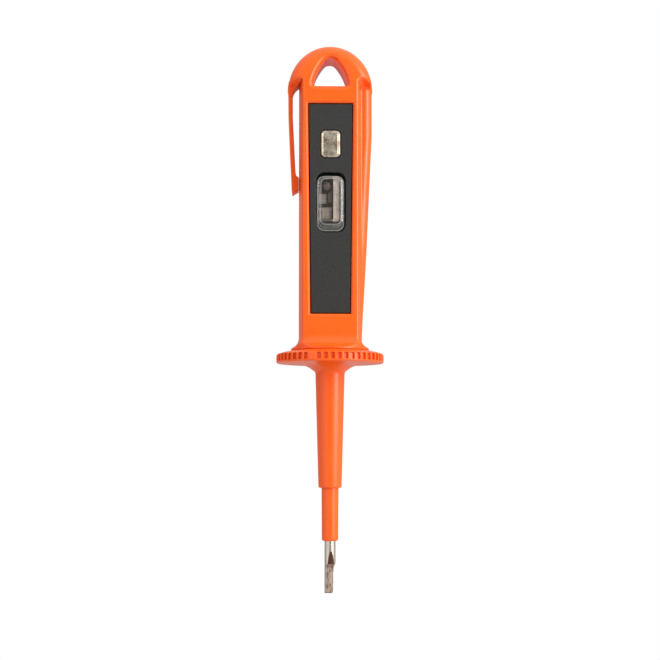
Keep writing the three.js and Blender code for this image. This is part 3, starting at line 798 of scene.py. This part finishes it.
width = steps((-12.6, 0.16), (-7.4, 0.3), (7.4, 0.16), 12.6)
depth = steps((-11.6, 0.3), (-7.3, 0.14), (-5.9, 0.3), (-3.3, 0.16), (-1.7, 0.3), (1.7, 0.16), (3.3, 0.3),
              (5.9, 0.14), (7.3, 0.3), 11.6)
height = steps((67.9, 0.2), (77.6, 0.2), (79.4, 0.9), (95.0, 0.3), (95.6, 0.9), (137.0, 0.2), (140.0, 0.16),
               (148.6, 0.25), LENGTH + 0.5)
field_piece("handle_shell", housing_field, (width, depth, height), "handle", "handle_housing",
            MATERIALS["orange_plastic"],
            shading=lambda x, y, z: housing_field(x, y, z, CROWN_FOOT_Z - 1.0))

clip_axes = (steps((-12.4, 0.14), -8.7), steps((-2.8, 0.16), 2.8), steps((112.6, 0.14), (119.8, 0.5), 141.7))
clip = field_piece("spring_clip", clip_field, clip_axes, None, "pocket_clip",
                   MATERIALS["orange_plastic"], shading=clip_strip_field)
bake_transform(clip)


# ---- Cover, window and touch pad -----------------------------------------------------------

def cover_field(x, y, z):
    """A flat plate with a window, a hole for the pad, and two ribs on its back."""
    plate = meet(cover_outline(x, z), span(y, COVER_FRONT_Y, COVER_BACK_Y), 0.18)
    ribs = np.maximum(span(np.abs(x), RIB_INNER_X, RIB_OUTER_X), span(y, COVER_BACK_Y - 0.3, RIB_BACK_Y))
    ribs = np.maximum(ribs, span(z, RIB_FOOT_Z, RIB_TOP_Z))
    plate = join(plate, ribs, 0.2)
    window = rounded_box2(x - WINDOW_X, z - WINDOW_Z, WINDOW_HALF_WIDTH, WINDOW_HALF_HEIGHT, WINDOW_CORNER)
    pad = rounded_box2(x, z - PAD_Z, PAD_HALF_WIDTH + PAD_GAP, PAD_HALF_HEIGHT + PAD_GAP, PAD_HOLE_CORNER)
    return cut(plate, np.minimum(window, pad), 0.12)


def lens_outlines(x, z):
    """Distances to the lens's edge and to the edge of its raised middle."""
    edge = rounded_box2(x, z - LENS_Z, LENS_HALF_WIDTH, LENS_HALF_HEIGHT, LENS_CORNER)
    plateau = rounded_box2(x - PLATEAU_X, z - PLATEAU_Z, PLATEAU_HALF_WIDTH, PLATEAU_HALF_HEIGHT,
                           PLATEAU_CORNER)
    return edge, plateau


def lens_field(x, y, z):
    """A raised middle whose sides slope down to the edge."""
    edge, plateau = lens_outlines(x, z)
    front = COVER_FRONT_Y + 0.1 + LENS_RAISE * np.clip(plateau / LENS_SLOPE_WIDTH, 0.0, 1.0)
    return meet(edge, np.maximum(front - y, y - COVER_BACK_Y), 0.2)


def pad_field(x, y, z):
    """A stud with a bevelled rim round a shallow groove, and a shoulder behind the cover."""
    outline = rounded_box2(x, z - PAD_Z, PAD_HALF_WIDTH, PAD_HALF_HEIGHT, PAD_CORNER)
    bevel = PAD_BEVEL_DEPTH * np.clip(1.0 + outline / PAD_BEVEL_WIDTH, 0.0, 1.0)
    groove = PAD_GROOVE_DEPTH * np.exp(-((outline + PAD_GROOVE_INSET) / 0.1) ** 2)
    stud = np.maximum(outline, np.maximum(PAD_FRONT_Y + bevel + groove - y, y - COVER_BACK_Y - 0.9))
    shoulder = rounded_box2(x, z - PAD_Z, PAD_HALF_WIDTH + SHOULDER_REACH, PAD_HALF_HEIGHT + SHOULDER_REACH,
                            SHOULDER_CORNER)
    shoulder = meet(shoulder, span(y, COVER_BACK_Y + 0.3, COVER_BACK_Y + 1.0), 0.1)
    return join(stud, shoulder, 0.1)


cover_axes = (steps((-6.6, 0.17), 6.6), steps((-6.7, 0.12), (-4.6, 0.5), 0.6),
              steps((78.2, 0.15), (79.0, 0.6), (96.6, 0.4), (101.0, 0.16), (119.0, 0.5), (122.0, 0.16),
                    (131.2, 0.5), (135.6, 0.2), 138.6))
field_piece("cover_plate", cover_field, cover_axes, "handle", "front_cover", MATERIALS["dark_cover"],
            0.03)

lens_axes = (steps((-4.1, 0.1), 4.1), steps((-6.5, 0.1), -4.7), steps((101.6, 0.12), 117.8))
window = field_piece("window_pane", lens_field, lens_axes, "handle", "window_lens", MATERIALS["clear_lens"],
                     0.03)


def mark_haze_and_painted_glints(piece):
    """Stores how frosted the lens is: its sloping sides a little, as haze, and most on painted highlight
    lines round its edge and round its raised middle.
    """
    x, y, z = np.array([v.co for v in piece.data.vertices]).T / MM
    edge, plateau = lens_outlines(x, z)
    front = y < COVER_BACK_Y - 0.3
    sides = 0.03 + 0.07 * smoothstep(plateau, -0.05, 0.1)
    # Painted highlight lines, round the lens's edge and round its raised middle.
    lines = np.exp(-((edge + 0.08) / 0.1) ** 2) + 0.6 * np.exp(-(plateau / 0.09) ** 2)
    haze_and_painted_glint = front * np.clip(sides + 0.7 * lines, 0.0, 1.0)
    mark(piece, "haze_and_painted_glint", haze_and_painted_glint)


mark_haze_and_painted_glints(window)

pad_axes = (steps((-3.8, 0.08), 3.8), steps((-7.1, 0.08), (-6.3, 0.3), -3.7), steps((121.8, 0.1), 131.4))
field_piece("touch_stud", pad_field, pad_axes, "touch_button", "touch_pad", MATERIALS["touch_metal"],
            0.02)


# ---- Nose ----------------------------------------------------------------------------------

def notch_field(x, y, z):
    """The notches round the rim, in even pitches with one left out."""
    pitch = 2.0 * math.pi / NOTCH_PITCHES
    turn = np.arctan2(x, -y) / pitch - NOTCH_PHASE
    nearest = np.round(turn)
    around = np.hypot(x, y)
    sideways = np.abs(turn - nearest) * pitch * around - NOTCH_HALF_WIDTH
    notch = meet(sideways, FLANGE_RADIUS - NOTCH_DEPTH - around, 0.12)
    notch = meet(notch, span(z, NOTCH_LOW_Z, NOTCH_HIGH_Z), 0.1)
    return np.where(nearest % NOTCH_PITCHES == PLAIN_PITCH, FAR, notch)


def nose_field(x, y, z):
    """The tapered nose, its notched guard and its threaded spigot, bored through for the blade."""
    around = np.hypot(x, y)
    steep = 1.0 - 0.4 * smoothstep(z, NECK_Z, NECK_Z + 0.6)
    taper = steep * (around - along(z, NOSE_PROFILE))
    taper = meet(taper, NOSE_BOTTOM_Z - z, 0.45)
    taper = np.maximum(taper, z - 64.5)
    bottom = FLANGE_BOTTOM_Z + 0.06 * (around - 7.0)
    disc = meet(np.maximum(z - along(around, FLANGE_TOP), bottom - z), around - FLANGE_RADIUS, FLANGE_EDGE)
    body = cut(join(taper, disc, 0.9), notch_field(x, y, z), 0.1)
    spigot = meet(around - SPIGOT_RADIUS, z - SPIGOT_TOP_Z, 0.3)
    thread = thread_ridge(x, y, z, SPIGOT_RADIUS + THREAD_SINK, SPIGOT_THREAD_FOOT_Z, SPIGOT_THREAD_TOP_Z)
    spigot = join(spigot, thread, 0.12)
    body = np.minimum(body, np.maximum(spigot, 67.0 - z))
    sleeve_seat = np.maximum(around - SLEEVE_SEAT_RADIUS, z - SLEEVE_SEAT_TOP_Z)
    blade_bore = np.maximum(around - BLADE_BORE_RADIUS, z - BLADE_BORE_TOP_Z)
    rear_bore = np.maximum(around - REAR_BORE_RADIUS, REAR_BORE_FOOT_Z - z)
    return np.maximum(body, -np.minimum(np.minimum(sleeve_seat, blade_bore), rear_bore))


def sleeve_field(x, y, z):
    around = np.hypot(x, y)
    outer = around - along(z, SLEEVE_PROFILE)
    tube = meet(outer, span(z, SLEEVE_BOTTOM_Z, SLEEVE_TOP_Z), 0.6)
    return cut(tube, around - BLADE_RADIUS - 0.03, 0.06)


def blade_axes_of(x, y):
    """Distances towards the ground face and towards the blade's right-hand edge."""
    towards_face = x * math.sin(BLADE_TWIST) - y * math.cos(BLADE_TWIST)
    towards_edge = x * math.cos(BLADE_TWIST) + y * math.sin(BLADE_TWIST)
    return towards_face, towards_edge


def blade_field(x, y, z):
    """A round bar, ground in front with a face, a small step and a ramp, and behind and at its right."""
    face, edge = blade_axes_of(x, y)
    front = face - np.where(z > BLADE_GRIND_TOP_Z, FAR, along(z, BLADE_FRONT))
    back = -face - along(z, BLADE_BACK)
    side = edge - along(z, BLADE_RIGHT)
    bar = meet(np.hypot(x, y) - BLADE_RADIUS, z - BLADE_TOP_Z, 0.2)
    ground = meet(meet(bar, front, 0.04), side, 0.08)
    return meet(meet(ground, back, 0.05), -z, 0.06)


nose_across = steps((-15.8, 0.2), 15.8)
nose_height = steps((29.0, 0.2), (30.2, 1.0), (33.4, 0.2), (34.2, 1.0), (40.2, 0.2), (41.4, 1.0),
                    (60.8, 0.25), (64.0, 0.17), (68.6, 0.2), 77.4)
field_piece("nose_guard", nose_field, (nose_across, nose_across, nose_height), "nose", "nose_collar",
            MATERIALS["orange_plastic"])

sleeve_across = steps((-2.6, 0.12), 2.6)
sleeve_height = steps((14.3, 0.12), (15.1, 0.6), 33.8)
field_piece("blade_sleeve", sleeve_field, (sleeve_across, sleeve_across, sleeve_height), "nose",
            "blade_insulation", MATERIALS["orange_plastic"])

blade_across = steps((-1.75, 0.09), 1.75)
blade_height = steps((-0.15, 0.09), (12.6, 0.8), (39.8, 0.12), 40.5)
blade = field_piece("driver_blade", blade_field, (blade_across, blade_across, blade_height), "nose",
                    "screwdriver_blade", MATERIALS["blade_metal"], 0.03)


def mark_grinding(piece):
    """Stores where the blade was ground, and where its material paints a dark reflection on the ramp and
    shade below the step and along the tip.
    """
    x, y, z = np.array([v.co for v in piece.data.vertices]).T / MM
    face, edge = blade_axes_of(x, y)
    on_front = np.abs(face - along(z, BLADE_FRONT)) < 0.06
    # Painted dark reflection from the step up the ramp, and painted shade at half strength in the corner
    # below the step.
    ramp = on_front * smoothstep(z, 6.85, 7.15) * (0.5 + 0.5 * smoothstep(z, 7.85, 8.15)) * (z < 11.6)
    # Painted shade along the tip's bottom edge.
    ramp = np.maximum(ramp, 0.7 * (1.0 - smoothstep(z, 0.15, 0.4)))
    ground = on_front * (1.0 - smoothstep(z, 7.9, 8.3))
    mark(piece, "ramp", ramp)
    mark(piece, "ground", ground)


mark_grinding(blade)

# The CAD nodes that stay in view, each with its slot's material.
stand_ins = {"handle_housing", "pocket_clip", "front_cover", "window_lens", "touch_pad", "nose_collar",
             "blade_insulation", "screwdriver_blade"}
for entry in frame["record"]["subparts"]:
    if entry["node"] not in stand_ins:
        node = frame["nodes"][entry["node"]]
        node.data.materials.clear()
        node.data.materials.append(MATERIALS[entry["material_slot"]])


# ---- Floor, light and camera ---------------------------------------------------------------

def floor():
    turns = np.linspace(0.0, 2.0 * math.pi, 96, endpoint=False)
    rim = [(FLOOR_RADIUS * math.cos(a), FLOOR_RADIUS * math.sin(a), FLOOR_Z) for a in turns]
    mesh = bpy.data.meshes.new("floor")
    mesh.from_pydata(rim, [], [list(range(len(rim)))])
    look = Look("pale_floor", 0.8)
    tone = look.ramp(look.noise(400.0), 0.3, 0.7)
    look.colour(look.blend(tone, [0.6, 0.6, 0.6, 1.0], [0.57, 0.57, 0.57, 1.0]))
    mesh.materials.append(look.material)
    disc = bpy.data.objects.new("floor", mesh)
    bpy.context.collection.objects.link(disc)


def surroundings():
    """A studio that is white to the camera, and lights the tester with the world's patches."""
    world = bpy.data.worlds.new("studio")
    bpy.context.scene.world = world
    world.use_nodes = True
    tree = world.node_tree
    place = tree.nodes.new("ShaderNodeTexCoord").outputs["Generated"]

    def patch(level, towards, inner, outer, gain, flatten):
        """Adds gain within inner degrees of a direction, fading out to outer degrees."""
        squashed = tree.nodes.new("ShaderNodeVectorMath")
        squashed.operation = "MULTIPLY"
        squashed.inputs[1].default_value = (1.0, 1.0, flatten)
        tree.links.new(place, squashed.inputs[0])
        unit = tree.nodes.new("ShaderNodeVectorMath")
        unit.operation = "NORMALIZE"
        tree.links.new(squashed.outputs["Vector"], unit.inputs[0])
        across = tree.nodes.new("ShaderNodeVectorMath")
        across.operation = "DOT_PRODUCT"
        across.inputs[1].default_value = Vector(towards).normalized()
        tree.links.new(unit.outputs["Vector"], across.inputs[0])
        fade = tree.nodes.new("ShaderNodeMapRange")
        fade.interpolation_type = "SMOOTHSTEP"
        fade.inputs["From Min"].default_value = math.cos(math.radians(outer))
        fade.inputs["From Max"].default_value = math.cos(math.radians(inner))
        fade.inputs["To Max"].default_value = gain
        tree.links.new(across.outputs["Value"], fade.inputs["Value"])
        total = tree.nodes.new("ShaderNodeMath")
        tree.links.new(level, total.inputs[0])
        tree.links.new(fade.outputs["Result"], total.inputs[1])
        return total.outputs["Value"]

    plain = tree.nodes.new("ShaderNodeValue")
    plain.outputs[0].default_value = WORLD_LEVEL
    level = plain.outputs[0]
    for row in WORLD_PATCHES:
        level = patch(level, *row)
    path = tree.nodes.new("ShaderNodeLightPath")
    seen = tree.nodes.new("ShaderNodeMix")
    tree.links.new(path.outputs["Is Camera Ray"], seen.inputs[0])
    tree.links.new(level, seen.inputs[2])
    seen.inputs[3].default_value = 1.0
    background = tree.nodes["Background"]
    background.inputs["Color"].default_value = (1.0, 1.0, 1.0, 1.0)
    tree.links.new(seen.outputs[0], background.inputs["Strength"])


def lamp(name, place, target, power, width, height):
    light = bpy.data.lights.new(name, "AREA")
    light.energy = power
    light.shape = "RECTANGLE"
    light.size = width
    light.size_y = height
    made = bpy.data.objects.new(name, light)
    made.location = place
    made.rotation_euler = (Vector(target) - Vector(place)).to_track_quat("-Z", "Y").to_euler()
    bpy.context.collection.objects.link(made)


def camera():
    azimuth = math.radians(CAMERA_AZIMUTH)
    elevation = math.radians(CAMERA_ELEVATION)
    target = Vector((0.0, 0.0, CAMERA_TARGET_Z))
    back = Vector((math.sin(azimuth) * math.cos(elevation), -math.cos(azimuth) * math.cos(elevation),
                   math.sin(elevation)))
    data = bpy.data.cameras.new("camera")
    data.lens = CAMERA_LENS_MM
    made = bpy.data.objects.new("camera", data)
    made.location = target + back * CAMERA_DISTANCE
    made.rotation_euler = (-back).to_track_quat("-Z", "Y").to_euler()
    bpy.context.collection.objects.link(made)
    bpy.context.scene.camera = made


floor()
surroundings()
lamp("key_light", LAMP_PLACE, LAMP_TARGET, LAMP_POWER, LAMP_WIDTH, LAMP_HEIGHT)
camera()
bpy.context.scene.view_settings.view_transform = "Standard"
